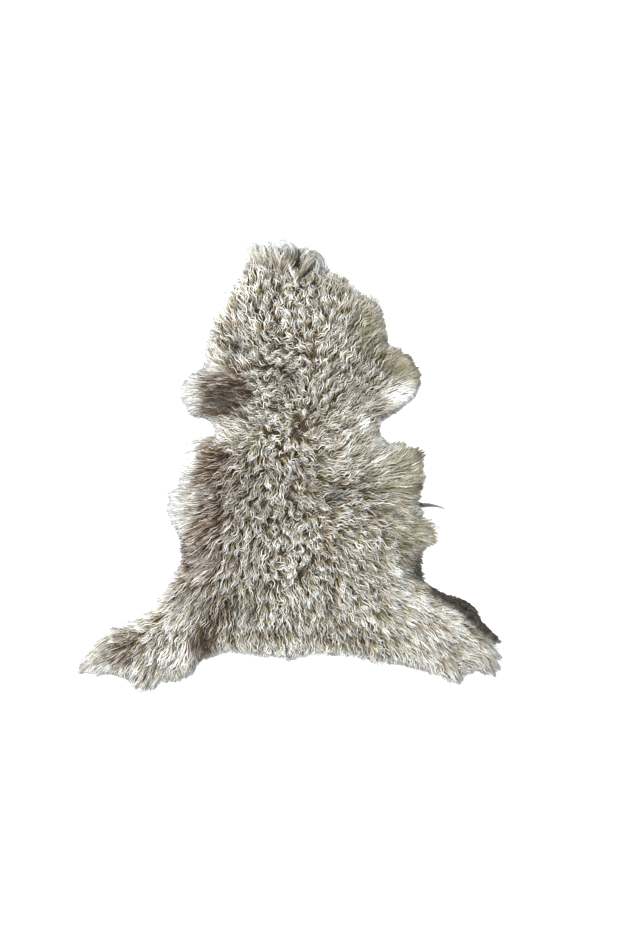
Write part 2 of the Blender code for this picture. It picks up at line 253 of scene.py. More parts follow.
# Dusky wool, grey-brown to charcoal, and painted shade in the hollows and along the right rims that turn
# away from the light; and pale sun-bleached wool: x, y, radius in millimetres, and strength
DUSKY_WOOL_AND_SHADE_SPOTS = {
    # Painted shade along the right rims, which lie in shade
    "leg_right_rim_shade": (
        (322, -273, 17, 1.2), (349, -287, 19, 1.3), (381, -302, 22, 1.4), (409, -328, 22, 1.4),
        (434, -356, 19, 1.2), (456, -380, 16, 1),
    ),
    "flank_right_rim_shade": (
        (292, -226, 26, 1.5), (292, 26, 16, 0.9), (288, -47, 13, 0.6), (318, -118, 14, 0.4),
    ),
    # Dusky brown wool of the left foreleg
    "foreleg_left": ((-150, 146, 36, 1),),
    # Painted shade in the hollows and partings of the wool
    "nape_hollows": ((4, 458, 11, 0.8), (20, 470, 10, 0.7)),
    "neck_hollows": ((-10, 196, 20, 0.55), (-118, 266, 18, 0.6), (-140, 300, 12, 0.5)),
    "shoulder_left_hollow": ((-62, 92, 14, 0.4),),
    "back_hollows": ((76, 8, 16, 0.45), (104, -66, 18, 0.5), (-70, -26, 22, 0.4)),
    "flank_left_hollow": ((-150, -90, 22, 0.35),),
    "loin_hollows": ((-120, -310, 22, 0.5), (-84, -322, 20, 0.4)),
    "hip_left_hollow": ((-190, -388, 20, 0.5),),
    "shoulder_right_hollows": ((150, 170, 14, 0.4), (170, 250, 14, 0.35)),
    "leg_left_hollow": ((-400, -415, 14, 0.5),),
}
PALE_SPOTS = {
    "foreleg_right": ((238, 164, 30, 0.2),),
    "leg_right": ((446, -410, 18, 1), (368, -358, 18, 0.3), (292, -300, 20, 0.35)),
    "shoulder_right": ((166, 97, 16, 0.6), (130, 35, 12, 0.6)),
    "back_right": ((200, 13, 12, 0.5),),
    "nape_left": ((-84, 466, 26, 0.4),),
    "armpit_left": ((-218, 46, 26, 1.3),),
    "leg_left": ((-245, -430, 24, 0.9), (-440, -404, 34, 0.8)),
}

# Locks and the wisps in them
LOCK_SPACING = 12.6 * MM
LOCK_HALF = 6.6 * MM  # half a lock's width near its root
ROOT_STRAY = 0.36  # of the spacing
LIE_STRAY, PHASE_STRAY, PHASE_DRIFT = 0.3, 0.25, 1.5  # from lock to lock, and from place to place
LENGTH_VARIES, ROOM_VARIES = (0.8, 1.2), (0.85, 1.08)
LOCK_VARIES = {"wave": (0.6, 1.35), "pitch": (0.9, 1.1), "lift": (0.3, 1.4)}
NEAR_RIM, SHORTEST = 1.5, 0.45  # with less room than so many lengths a lock is cut back, but not to less
RIM_BAND = (1.5 * MM, 9 * MM)  # more locks are rooted in this band along the hide's edge
RIM_SPACING = 7.2 * MM
TIPS_AT_RIM = (-3.5 * MM, 6 * MM)  # how far inside the outline the tips end there
FILL_BELOW = 0.58  # short locks fill in where fewer wisps lie than this share of the usual number
FILL_SPACING = 9 * MM
FILL_SIZE = (7, 5)  # wisps in a lock, and rings in a wisp
FILL_LENGTH, FILL_LIFT, FILL_LIGHT = 0.55, 0.5, -0.6  # beside those of the other locks; the last darkens them as painted shade in the gaps where they lie
TURN_OUT = 30 * MM  # nearer to the hide's edge than this, the wool turns to lie out over it
TURN_SHARE, TURN_FULL = 0.55, 1.15  # by this share at most, and in full over the last 0.15 of it
WISP_FLAT = 0.7  # a wisp's height as a share of its width
WISP_VARIES = (0.7, 1.25)  # in width
TAPER = 0.4  # a wisp that is shortened gets thinner by this share of it
RISE_END, DROOP_START, DROOP = 0.45, 0.65, 0.35  # a wisp rises to here along it, and droops from there
ROOT_SUNK = 5 * MM
WANDER = 48 * MM  # size of the swirls in the lie of the wool
FINER, FINER_SHARE = 2.6, 0.6  # smaller swirls on them
SWIRL_GAIN = 1.8  # brings the noise to about -1 to 1
LIE_SWIRL, FINER_SWIRL, PHASE_SWIRL, LUMP_SWIRL = 3.1, 9.7, 5.3, 1.7  # where the noise is read, all unlike
STEPS = 90  # in working out a wisp's line, of which its rings are some

# The ground that the wool stands on, as a grid of heights
GRID = 3.5 * MM
GRID_MARGIN = 48 * MM
GROUND_SHARE = 0.7  # of the solid's height, under the locks
GROUND_BLUR = 2  # times that the grid is smoothed
RELIEF_BLUR = 50  # times for the broad form that hollows and crests are told from
INWARDS_BLUR, COUNT_BLUR = 8, 3  # times for the way inwards, and for how many wisps lie where
RELIEF_STEP = 3.5 * MM  # hollows and crests this deep are a step darker or lighter: painted shade in hollows, painted light on crests
RIM_CLOSING = 9 * MM  # the partings between the solid's rim locks are closed by this much from each side
TINTS = ("brown", "cream", "khaki")
SHARES = (*TINTS, "dusky_wool_and_shade")
LOCK_TINT, WISP_TINT = 0.1, 0.22  # how far the shares stray from lock to lock and from wisp to wisp
RIM_SHADE = 9 * MM  # the tips nearer to the outline than this are painted in cool shade, against the floor
SHADED_SIDE = 230 * MM  # towards this far to the right the rim turns away from the light, and its painted shade is dusky
SHADED_SHARE = 0.7
TUFT_TONE, TUFT_LIGHT = 0.08, -0.45  # at the roots of the single tufts
STRAY_TONE, STRAY_LIGHT = 0.05, -1.3
SINGLE_TIP = 0.85  # tone of their tips
TINT_EDGE = 1.7  # how sharply the patches' colours part
CLEAR = 0.5 * MM  # between the wool and the floor

# The matted underwool
UNDER_GAP, UNDER_HIGH = 0.3 * MM, 12 * MM  # over the hide, and its thickness before it is shaped
UNDER_VOXEL = 9 * MM
UNDER_LEAST = 3 * MM  # thickness where the wool is thinnest
LUMP_SIZE, LUMP_HIGH, LUMP_EDGE = 13 * MM, 2.2 * MM, 20 * MM  # lumps lessen within the last of the edge

# The fleece's colours by tone, from 0 at the roots to 1 at the tips: plain, and what is mixed over it in
# turn by the shares of each place. The dusky share is dusky wool and also painted shade in hollows and on
# the right rims; rim is painted cool shade on the tips at the outline
WOOL_TONES = {
    "plain": ((0, "#22170a"), (0.26, "#62543a"), (0.42, "#a1967f"), (0.57, "#dadad1"), (0.72, "#fbfeff")),
    "khaki": ((0, "#2e2818"), (0.35, "#6c654d"), (0.7, "#908a72"), (1, "#bdbba8")),
    "brown": ((0, "#170d05"), (0.35, "#32210f"), (0.7, "#573f24"), (1, "#92734b")),
    "cream": ((0, "#5a5344"), (0.3, "#8f897c"), (0.65, "#adaba3"), (1, "#b6babd")),
    "dusky_wool_and_shade": ((0, "#15120c"), (0.35, "#2b2720"), (0.7, "#444137"), (1, "#5f5c53")),
    "rim": ((0, "#4a5058"), (0.5, "#76808c"), (1, "#98a7b8")),
}
SUEDE_TONES = ((0.32, "#b89a74"), (0.5, "#cbb28e"), (0.68, "#dccaa9"))

FLOOR_SIZE, FLOOR_UNDER = 9.0, 0.3 * MM


def linear(code):
    """An sRGB hex colour as a linear one."""
    parts = [int(code[i : i + 2], 16) / 255 for i in (1, 3, 5)]
    return (*[c / 12.92 if c <= 0.04045 else ((c + 0.055) / 1.055) ** 2.4 for c in parts], 1.0)


def patch_table():
    """The patches as columns of numbers, in metres and radians, with their kind's columns."""
    rows = [(*place, *WOOL_KINDS[kind]) for _, patches in WOOL_PATCHES for kind, *place in patches]
    table = dict(zip(PATCH_COLUMNS + WOOL_COLUMNS, np.array(rows, float).T))
    for name in ("x", "y", "radius", "length", "wave", "pitch", "lift", "fine"):
        table[name] = table[name] * MM
    for name in ("lie", "bend", "mess", "curl"):
        table[name] = np.radians(table[name])
    return table


def patch_weights(table, places):
    """For each place, how much of each patch's wool grows there."""
    away = (places[:, None, 0] - table["x"]) ** 2 + (places[:, None, 1] - table["y"]) ** 2
    weights = np.exp(-away / table["radius"] ** 2) + 1e-9
    return weights / weights.sum(1, keepdims=True)


class Ground:
    """Heights, and distances inwards from the hide's edge, on one grid over the sheepskin."""

    def __init__(self, hide, fleece, table):
        low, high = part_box("fleece")
        self.low = np.array(low[:2]) - GRID_MARGIN
        self.shape = tuple(int(n) for n in np.ceil((np.array(high[:2]) + GRID_MARGIN - self.low) / GRID))
        over_wool = self.cast(fleece)
        top = self.smoothed(over_wool, GROUND_BLUR)
        self.height = top * GROUND_SHARE
        self.relief = top - self.smoothed(top, RELIEF_BLUR)
        self.inside = self.edge_distance(self.cast(hide) > 0)
        grown = self.edge_distance(over_wool > 0) > -RIM_CLOSING
        self.outline = self.edge_distance(grown) - RIM_CLOSING + self.spots(RIM_REACH) * MM
        self.inwards = np.gradient(self.smoothed(self.outline, INWARDS_BLUR), GRID)
        cells = np.array([(x, y) for _, _, x, y in self.cell_places()])
        weights = patch_weights(table, cells) ** TINT_EDGE
        weights /= weights.sum(1, keepdims=True)
        self.patch = {name: (weights @ table[name]).reshape(self.shape) for name in (*TINTS, "depth")}
        # Dusky wool, and painted shade in the hollows and along the right rims
        self.patch["dusky_wool_and_shade"] = np.clip(self.spots(DUSKY_WOOL_AND_SHADE_SPOTS), 0, 1)
        self.pale = self.spots(PALE_SPOTS)

    def spots(self, parts):
        """A field that rises by each row's last value within its radius of its place."""
        x, y = np.meshgrid(*(self.low[k] + np.arange(self.shape[k]) * GRID for k in (0, 1)), indexing="ij")
        made = np.zeros(self.shape)
        for rows in parts.values():
            for at_x, at_y, radius, amount in rows:
                away = (x - at_x * MM) ** 2 + (y - at_y * MM) ** 2
                made += amount * np.exp(-away / (radius * MM) ** 2)
        return made

    def cell_places(self):
        """Each cell's row and column, and where it is."""
        for i in range(self.shape[0]):
            for j in range(self.shape[1]):
                yield i, j, self.low[0] + i * GRID, self.low[1] + j * GRID

    def cast(self, node):
        """The node's height over the floor at every cell, and 0 beside it."""
        shape = bmesh.new()
        shape.from_mesh(node.data)
        tree = BVHTree.FromBMesh(shape)
        shape.free()
        made = np.zeros(self.shape)
        for i, j, x, y in self.cell_places():
            hit = tree.ray_cast(Vector((x, y, 1.0)), -UP)[0]
            if hit is not None:
                made[i, j] = hit.z
        return made

    def smoothed(self, values, times):
        """The grid's values, each blended with its neighbours so many times."""
        for _ in range(times):
            wide = np.pad(values, 1, mode="edge")
            rows = (wide[:-2] + 2 * wide[1:-1] + wide[2:]) / 4
            values = (rows[:, :-2] + 2 * rows[:, 1:-1] + rows[:, 2:]) / 4
        return values

    def edge_distance(self, mask):
        """Distance from the mask's edge at every cell, above 0 inside it and below 0 beside it."""
        edges = []
        for step in ((1, 0), (0, 1)):
            crossed = np.argwhere(mask != np.roll(mask, step, (0, 1)))
            edges += [Vector((i - step[0] / 2, j - step[1] / 2, 0.0)) for i, j in crossed]
        tree = KDTree(len(edges))
        for k, edge in enumerate(edges):
            tree.insert(edge, k)
        tree.balance()
        made = np.zeros(self.shape)
        for i, j, _, _ in self.cell_places():
            away = tree.find(Vector((i, j, 0.0)))[2] * GRID
            made[i, j] = away if mask[i, j] else -away
        return made

    def read(self, values, x, y):
        """The grid's values at places between its cells."""
        u = np.clip((x - self.low[0]) / GRID, 0, self.shape[0] - 1.001)
        v = np.clip((y - self.low[1]) / GRID, 0, self.shape[1] - 1.001)
        i, j = u.astype(int), v.astype(int)
        u, v = u - i, v - j
        near = values[i, j] * (1 - u) + values[i + 1, j] * u
        far = values[i, j + 1] * (1 - u) + values[i + 1, j + 1] * u
        return near * (1 - v) + far * v

    def over(self, values, places):
        """The grid's values at places or along lines."""
        return self.read(values, places[..., 0], places[..., 1])


def swirl(places, size, offset):
    """A smooth random value from about -1 to 1 at each place."""
    return np.array([noise.noise(Vector((x / size, y / size, offset))) for x, y in places]) * SWIRL_GAIN


def thin_places(lines, ground, chance):
    """Places on the hide that few wisps lie over, where the wool parts."""
    reach = [ground.low, ground.low + np.array(ground.shape) * GRID]
    points = lines.reshape(-1, 3)
    counts = np.histogram2d(points[:, 0], points[:, 1], ground.shape, np.array(reach).T)[0]
    counts = ground.smoothed(counts, COUNT_BLUR)
    usual = np.median(counts[ground.inside > 0])
    bare = np.argwhere((counts < FILL_BELOW * usual) & (ground.inside > RIM_BAND[1])) * GRID + ground.low
    made = np.zeros((0, 2))
    for place in bare[chance.permutation(len(bare))]:
        if not len(made) or np.hypot(*(made - place).T).min() > FILL_SPACING:
            made = np.vstack([made, place])
    return made


def smooth_line(places, steps):
    """Evenly spaced points on a smooth curve through places given in millimetres."""
    places = np.array(places, float) * MM
    ends = 2 * places[[0, -1]] - places[[1, -2]]
    through = np.vstack([ends[:1], places, ends[1:]])
    at = np.linspace(0, 1, 12, endpoint=False)[:, None]
    made = []
    for a, b, c, d in zip(through, through[1:], through[2:], through[3:]):
        bend = a - 2.5 * b + 2 * c - d / 2
        made.append(b + at * (c - a) / 2 + at**2 * bend + at**3 * (1.5 * (b - c) + (d - a) / 2))
    line = np.concatenate([*made, places[-1:]])
    gone = np.concatenate([[0], np.hypot(*np.diff(line, axis=0).T).cumsum()])
    wanted = np.linspace(0, gone[-1], steps)
    return np.stack([np.interp(wanted, gone, line[:, k]) for k in (0, 1)], 1)


def band_tufts():
    """Rows like those of the tufts, one after another along each band."""
    made = []
    for name, width, lift, line in BANDS:
        length = np.hypot(*np.diff(np.array(line, float), axis=0).T).sum()
        middle = smooth_line(line, int(length / BAND_STEP)) / MM
        ahead = np.gradient(middle, axis=0)
        ahead /= np.linalg.norm(ahead, axis=1, keepdims=True)
        out = np.stack([-ahead[:, 1], ahead[:, 0]], 1)
        for place, along, aside in zip(middle, ahead, out):
            steps = [place + along * BAND_LONG * k + aside * BAND_OUT * k**2 for k in (0.0, 0.5, 1.0)]
            made.append((name, width, lift, steps))
    return made


def scatter_locks(ground, chance):
    """The roots of the locks: staggered rows over the hide, each strayed a little, and more at its edge."""
    made = []
    row_step = LOCK_SPACING * math.sqrt(3) / 2
    wide, high = (cells * GRID for cells in ground.shape)
    for row in range(int(high / row_step)):
        columns = int(wide / LOCK_SPACING)
        x = ground.low[0] + (np.arange(columns) + row % 2 / 2) * LOCK_SPACING
        y = np.full(columns, ground.low[1] + row * row_step)
        made.append(np.stack([x, y], 1))
    places = np.concatenate(made)
    places += chance.uniform(-ROOT_STRAY, ROOT_STRAY, places.shape) * LOCK_SPACING
    places = places[ground.over(ground.inside, places) > RIM_BAND[1]]
    band = np.argwhere((ground.inside > RIM_BAND[0]) & (ground.inside < RIM_BAND[1])) * GRID + ground.low
    rim = band[:1]
    for place in band[chance.permutation(len(band))]:
        if np.hypot(*(rim - place).T).min() > RIM_SPACING:
            rim = np.vstack([rim, place])
    places = np.concatenate([places, rim])
    tufts = np.concatenate([smooth_line(row[-1], 12)[:6] for row in (*TUFTS, *band_tufts())])
    near = np.hypot(*(places[:, None] - tufts).transpose(2, 0, 1)).min(1) < TUFT_ROOM
    return places[~near]


def room_ahead(places, heading, ground):
    """How far it is from each place along its heading to the wool's outline."""
    steps = np.arange(2, 100, 2) * MM
    x = places[:, :1] + np.cos(heading)[:, None] * steps
    y = places[:, 1:] + np.sin(heading)[:, None] * steps
    past = ground.read(ground.outline, x, y) < 0
    return np.where(past.any(1), steps[past.argmax(1)], 1.0)


def comb_locks(places, ground, weights, table, chance):
    """For each lock its heading, its length and the rest of how it grows."""
    wool = {name: weights @ table[name] for name in table}
    count = len(places)
    x, y = places[:, 0], places[:, 1]
    turn = TURN_SHARE * np.clip(TURN_FULL - ground.over(ground.inside, places) / TURN_OUT, 0, 1)
    lie_x = (weights @ np.cos(table["lie"])) * (1 - turn) - ground.over(ground.inwards[0], places) * turn
    lie_y = (weights @ np.sin(table["lie"])) * (1 - turn) - ground.over(ground.inwards[1], places) * turn
    stray = swirl(places, WANDER, LIE_SWIRL) + FINER_SHARE * swirl(places, WANDER / FINER, FINER_SWIRL)
    stray = stray + LIE_STRAY * chance.normal(size=count)
    wool["heading"] = np.arctan2(lie_y, lie_x) + wool["mess"] * stray
    ahead_x = (x[:, None] - table["x"]) * np.cos(table["lie"])
    ahead_y = (y[:, None] - table["y"]) * np.sin(table["lie"])
    ahead = (weights * (ahead_x + ahead_y)).sum(1)
    wool["phase"] = 2 * math.pi * ahead / wool["pitch"] + PHASE_DRIFT * swirl(places, WANDER, PHASE_SWIRL)
    wool["phase"] += PHASE_STRAY * chance.normal(size=count)
    wool["length"] = wool["length"] * chance.uniform(*LENGTH_VARIES, count)
    room = room_ahead(places, wool["heading"], ground) * chance.uniform(*ROOM_VARIES, count)
    near = room < NEAR_RIM * wool["length"]
    wool["length"] = np.where(near, np.maximum(room, SHORTEST * wool["length"]), wool["length"])
    for name, limits in LOCK_VARIES.items():
        wool[name] = wool[name] * chance.uniform(*limits, count)
    wool["curl"] = wool["bend"] + wool["curl"] * chance.uniform(-1.0, 1.0, count)
    wool["light"] = chance.normal(size=count)
    return wool


def draw_wisps(places, wool, own, scale):
    """Each wisp's line in plan before the wisps of a lock are spread: places and headings at every step."""
    along = np.linspace(0, 1, STEPS + 1)
    length = (wool["length"][:, None] * own["length"] * scale)[:, :, None]
    pitch = wool["pitch"][:, None, None]
    phase = (wool["phase"][:, None] + own["phase"])[:, :, None]
    swing = 2 * math.pi * wool["wave"][:, None, None] / pitch * np.minimum(1.0, 0.3 + 1.6 * along)
    headings = (wool["heading"][:, None] + own["turn"])[:, :, None] + wool["curl"][:, None, None] * along**2
    headings = headings + swing * np.cos(2 * math.pi * length * along / pitch + phase)
    x = places[:, :1, None] + np.cumsum(np.cos(headings), 2) * length / STEPS
    y = places[:, 1:, None] + np.cumsum(np.sin(headings), 2) * length / STEPS
    return x, y, headings


def trim_to_edge(places, wool, own, ground, chance):
    """Shortens the wisps whose tips would lie too near to the outline or past it."""
    allowed = chance.uniform(*TIPS_AT_RIM, own["length"].shape)
    scale = np.ones(own["length"].shape)
    for _ in range(6):
        x, y, _ = draw_wisps(places, wool, own, scale)
        tips = ground.read(ground.outline, x[:, :, -1], y[:, :, -1])
        over = np.clip((allowed - tips) / (wool["length"][:, None] * own["length"] * scale), 0, 0.5)
        scale = scale * (1 - over)
    return scale


def rise(along):
    """Height of a wisp over the ground along its length, as a share of its lift."""
    risen = np.sin(math.pi / 2 * np.minimum(1, along / RISE_END))
    return risen - DROOP * np.clip((along - DROOP_START) / (1 - DROOP_START), 0, 1) ** 2


def make_wisps(places, wool, wisps, rings, ground, chance):
    """Middle lines of all wisps, lock by lock, how far each was shortened, and how high it lies."""
    size = (len(places), wisps)
    own = {
        "length": chance.uniform(0.72, 1.1, size),
        "phase": 0.18 * chance.normal(size=size),
        "turn": 0.08 * chance.normal(size=size),
        "lift": chance.uniform(0.35, 1.55, size),
    }
    scale = trim_to_edge(places, wool, own, ground, chance)
    chosen = np.linspace(0, STEPS, rings + 1).round().astype(int)
    x, y, headings = (values[:, :, chosen] for values in draw_wisps(places, wool, own, scale))
    along = np.linspace(0, 1, rings + 1)
    rows = (np.arange(wisps) + 0.5) / wisps * 2 - 1
    across = chance.permuted(np.tile(rows, (len(places), 1)), axis=1) + chance.uniform(-0.2, 0.2, size)
    apart = 1 - wool["gather"][:, None, None] * along**0.9
    spread = LOCK_HALF * across[:, :, None] * apart * (0.5 + 0.5 * scale[:, :, None])
    back = chance.uniform(-0.6, 0.6, (*size, 1)) * LOCK_SPACING * (1 - along)
    x = x - np.sin(headings) * spread - np.cos(headings[:, :, :1]) * back
    y = y + np.cos(headings) * spread - np.sin(headings[:, :, :1]) * back
    inside = ground.read(ground.inside, x, y)
    over_edge = np.clip(1 + inside / (16 * MM), 0.12, 1)
    lift = wool["lift"][:, None, None] * rise(along) * own["lift"][:, :, None]
    turns = (wool["length"][:, None] * own["length"] * scale / wool["pitch"][:, None])[:, :, None]
    phase = (wool["phase"][:, None] + own["phase"])[:, :, None]
    crimp = 0.2 * wool["wave"][:, None, None] * np.sin(2 * math.pi * along * turns + phase)
    z = ground.read(ground.height, x, y) - ROOT_SUNK * (1 - np.minimum(1, along / 0.25))
    z = z + (lift + crimp * np.minimum(1, along / 0.3)) * over_edge
    return np.stack([x, y, z], 3), scale, own["lift"]


def wisp_thickness(along):
    """Share of the full thickness along a wisp."""
    body = 0.7 + 0.3 * np.sin(math.pi * np.minimum(1, along * 1.3))
    return body * np.sqrt(np.clip(1 - along**2.5, 0.02, 1))


def wisp_mesh(name, lines, wide, tints):
    """One mesh of many three-sided wisps, each closed at its root and drawn to a point at its tip."""
    count, rings = lines.shape[0], lines.shape[1] - 1
    along = np.linspace(0, 1, rings + 1)
    tangent = np.gradient(lines, axis=1)
    tangent /= np.linalg.norm(tangent, axis=2, keepdims=True) + 1e-12
    side = np.cross(tangent, np.array([0.0, 0.0, 1.0]))
    side /= np.linalg.norm(side, axis=2, keepdims=True) + 1e-12
    top = np.cross(side, tangent)
    thick = wisp_thickness(along)[None, :, None] * wide[:, None, None]
    corners = []
    for turn in (90, 210, 330):
        across = math.cos(math.radians(turn)) / 2
        high = math.sin(math.radians(turn)) * WISP_FLAT / 2
        corners.append(lines + side * across * thick + top * high * thick)
    body = np.stack(corners, 2)[:, :rings]
    verts = np.concatenate([body.reshape(count, rings * 3, 3), lines[:, rings:]], 1)
    per = rings * 3 + 1
    verts[..., 2] = np.maximum(verts[..., 2], CLEAR + 0.2 * MM * (verts[..., 2] > lines[:, :1, 2]))
    faces = [(0, 2, 1)]
    for ring in range(rings - 1):
        for k in range(3):
            here, there = ring * 3 + k, ring * 3 + (k + 1) % 3
            faces.append((here, there, there + 3))
            faces.append((here, there + 3, here + 3))
    last = (rings - 1) * 3
    faces += [(last + k, last + (k + 1) % 3, per - 1) for k in range(3)]
    faces = np.array(faces)
    indices = (faces[None] + (np.arange(count) * per)[:, None, None]).reshape(-1, 3)
    mesh = bpy.data.meshes.new(name)
    mesh.vertices.add(count * per)
    mesh.vertices.foreach_set("co", verts.astype(np.float32).ravel())
    mesh.loops.add(indices.size)
    mesh.loops.foreach_set("vertex_index", indices.astype(np.int32).ravel())
    mesh.polygons.add(len(indices))
    mesh.polygons.foreach_set("loop_start", np.arange(0, indices.size, 3, dtype=np.int32))
    mesh.update()
    mesh.validate()
    mesh.shade_smooth()
    for key, values in tints.items():
        values = np.concatenate([np.repeat(values[:, :rings], 3, axis=1), values[:, rings:]], 1)
        layer = mesh.attributes.new(key, "FLOAT", "POINT")
        layer.data.foreach_set("value", values.astype(np.float32).ravel())
    return mesh


def put(name, data):
    """Puts a new object into the scene."""
    obj = bpy.data.objects.new(name, data)
    bpy.context.scene.collection.objects.link(obj)
    return obj


def new_material(name):
    """A material with no nodes yet."""
    made = bpy.data.materials.new(name)
    made.use_nodes = True
    made.node_tree.nodes.clear()
    return made


def add_node(material, kind, settings=None, values=None, links=None, stops=()):
    """Adds a node with its settings, its sockets' values, links into them, and stops of place and colour."""
    node = material.node_tree.nodes.new("ShaderNode" + kind)
    for key, value in (settings or {}).items():
        setattr(node, key, value)
    for key, value in (values or {}).items():
        node.inputs[key].default_value = value
    for key, (source, output) in (links or {}).items():
        material.node_tree.links.new(source.outputs[output], node.inputs[key])
    if stops:
        elements = node.color_ramp.elements
        while len(elements) < len(stops):
            elements.new(0.5)
        for element, (place, colour) in zip(elements, stops):
            element.position = place
            element.color = linear(colour)
    return node


def wool_colour(material, tone):
    """The fleece's colours at a tone, mixed by the share of each that every wisp carries; the dusky and rim
    shares carry painted shade too.
    """
    colour = None
    for share, stops in WOOL_TONES.items():
        own = add_node(material, "ValToRGB", links={"Fac": tone}, stops=stops), "Color"
        if colour is None:
            colour = own
            continue
        reader = add_node(material, "Attribute", {"attribute_name": share})
        mixed = {"Factor": (reader, "Fac"), 6: colour, 7: own}
        colour = add_node(material, "Mix", {"data_type": "RGBA"}, links=mixed), 2
    return colour


def lambswool():
    """Unshorn wool in its natural colour: dark at the root, sun-bleached at the tip, with a dull gloss;
    painted shade and light are mixed into it too.
    """
    made = new_material("taupe_wool_with_painted_shade")
    tone = add_node(made, "Attribute", {"attribute_name": "tone"})
    # The light attribute carries painted shade and light besides the wisps' own random brightness
    light = add_node(made, "Attribute", {"attribute_name": "light"})
    bright = add_node(
        made, "MapRange", {}, {"From Min": -2.5, "From Max": 2.5, "To Min": 0.42, "To Max": 1.58},
        {"Value": (light, "Fac")},
    )
    colour = wool_colour(made, (tone, "Fac"))
    varied = add_node(made, "HueSaturation", {}, {}, {"Color": colour, "Value": (bright, 0)})
    shader = add_node(
        made, "BsdfPrincipled", {},
        {"Roughness": 0.42, "IOR": 1.5, "Specular IOR Level": 0.25},
        {"Base Color": (varied, "Color")},
    )
    add_node(made, "OutputMaterial", links={"Surface": (shader, "BSDF")})
    return made


def underwool():
    """Felted wool between the locks, seen in shade: darker, crimped every 9 mm, and without gloss."""
    made = new_material("matted_underwool")
    place = add_node(made, "TexCoord")
    curls = add_node(
        made, "TexNoise", {},
        {"Scale": 1 / (9 * MM), "Detail": 6.0, "Roughness": 0.65, "Distortion": 1.2},
        {"Vector": (place, "Object")},
    )
    tone = add_node(made, "Attribute", {"attribute_name": "tone"})
    uneven = add_node(made, "Math", {"operation": "MULTIPLY_ADD"}, {1: 0.5, 2: -0.25}, {0: (curls, "Fac")})
    tone = add_node(made, "Math", {"operation": "ADD"}, {}, {0: (tone, "Fac"), 1: (uneven, 0)})
    colour = wool_colour(made, (tone, 0))
    bump = add_node(made, "Bump", {}, {"Strength": 1.0, "Distance": 2.5 * MM}, {"Height": (curls, "Fac")})
    shader = add_node(
        made, "BsdfPrincipled", {},
        {"Roughness": 0.9, "Specular IOR Level": 0.2, "Sheen Weight": 0.2},
        {"Base Color": colour, "Normal": (bump, "Normal")},
    )
    add_node(made, "OutputMaterial", links={"Surface": (shader, "BSDF")})
    return made


def suede():
    """Tanned flesh side, buffed to suede: pale tan, clouded from belly to back, with a short dull nap."""
    made = new_material("buffed_suede")
    place = add_node(made, "TexCoord")
    clouds = add_node(
        made, "TexNoise", {}, {"Scale": 1 / (110 * MM), "Detail": 5.0, "Roughness": 0.6},
        {"Vector": (place, "Object")},
    )
    # A real nap is finer than 0.5 mm, and is drawn this coarse so that it shows
    nap = add_node(
        made, "TexNoise", {}, {"Scale": 1 / (1.6 * MM), "Detail": 4.0, "Roughness": 0.7},
        {"Vector": (place, "Object")},
    )
    colour = add_node(made, "ValToRGB", links={"Fac": (clouds, "Fac")}, stops=SUEDE_TONES)
    bump = add_node(made, "Bump", {}, {"Strength": 0.6, "Distance": 0.4 * MM}, {"Height": (nap, "Fac")})
    shader = add_node(
        made, "BsdfPrincipled", {},
        {"Roughness": 0.92, "Specular IOR Level": 0.2, "Sheen Weight": 0.4},
        {"Base Color": (colour, "Color"), "Normal": (bump, "Normal")},
    )
    add_node(made, "OutputMaterial", links={"Surface": (shader, "BSDF")})
    return made


def draw_tufts(ground, chance):
    """The middle lines of the wisps of all single tufts, and how wide they are."""
    along = np.linspace(0, 1, TUFT_RINGS + 1)
    lines = []
    for _, width, lift, places in (*TUFTS, *band_tufts()):
        middle = smooth_line(places, TUFT_RINGS + 1)
        ahead = np.gradient(middle, axis=0)
        ahead /= np.linalg.norm(ahead, axis=1, keepdims=True)
        wisps = round(width * TUFT_WISPS)
        for k in range(wisps):
            across = (k + chance.uniform(0.1, 0.9)) / wisps * 2 - 1
            aside = across * width / 2 * MM * (1 - 0.55 * along**1.6) * np.minimum(1, 0.65 + along * 1.5)
            turns = along * TUFT_WAVES + chance.uniform(-0.3, 0.3)
            aside = aside + TUFT_WAVE * np.sin(2 * math.pi * turns + across)
            plan = middle + np.stack([-ahead[:, 1], ahead[:, 0]], 1) * aside[:, None]
            plan = plan - ahead[:1] * chance.uniform(-3, 5) * MM * (1 - along[:, None])
            crown = math.sqrt(1 - 0.75 * across**2) * chance.uniform(0.85, 1.1)
            z = ground.over(ground.height, plan)
            z = np.minimum(z, z[: TUFT_RINGS // 2].max()) - ROOT_SUNK * (1 - np.minimum(1, along / 0.2))
            lines.append(np.column_stack([plan, z + lift * MM * crown * rise(along)]))
    lines = np.array(lines)
    return lines, 2.1 * MM * chance.uniform(0.7, 1.3, len(lines))


def draw_stray(chance):
    """The twisted strand beside the right flank, sinking from the wool to the floor."""
    middle = smooth_line(STRAY_LINE, STRAY_RINGS + 1)
    along = np.linspace(0, 1, STRAY_RINGS + 1)
    length = np.hypot(*np.diff(middle, axis=0).T).sum()
    lines = []
    for k in range(STRAY_WISPS):
        turn = 2 * math.pi * (k / STRAY_WISPS + along * length / STRAY_TWIST)
        out = STRAY_WIDE / 2 * (1 - 0.7 * along) * chance.uniform(0.7, 1.1)
        z = STRAY_HIGH * (1 - along) ** 1.5 + STRAY_LOW + out * np.sin(turn)
        lines.append(np.column_stack([middle[:, 0], middle[:, 1] + out * np.cos(turn), z]))
    return np.array(lines), 2 * MM * chance.uniform(0.8, 1.2, STRAY_WISPS)


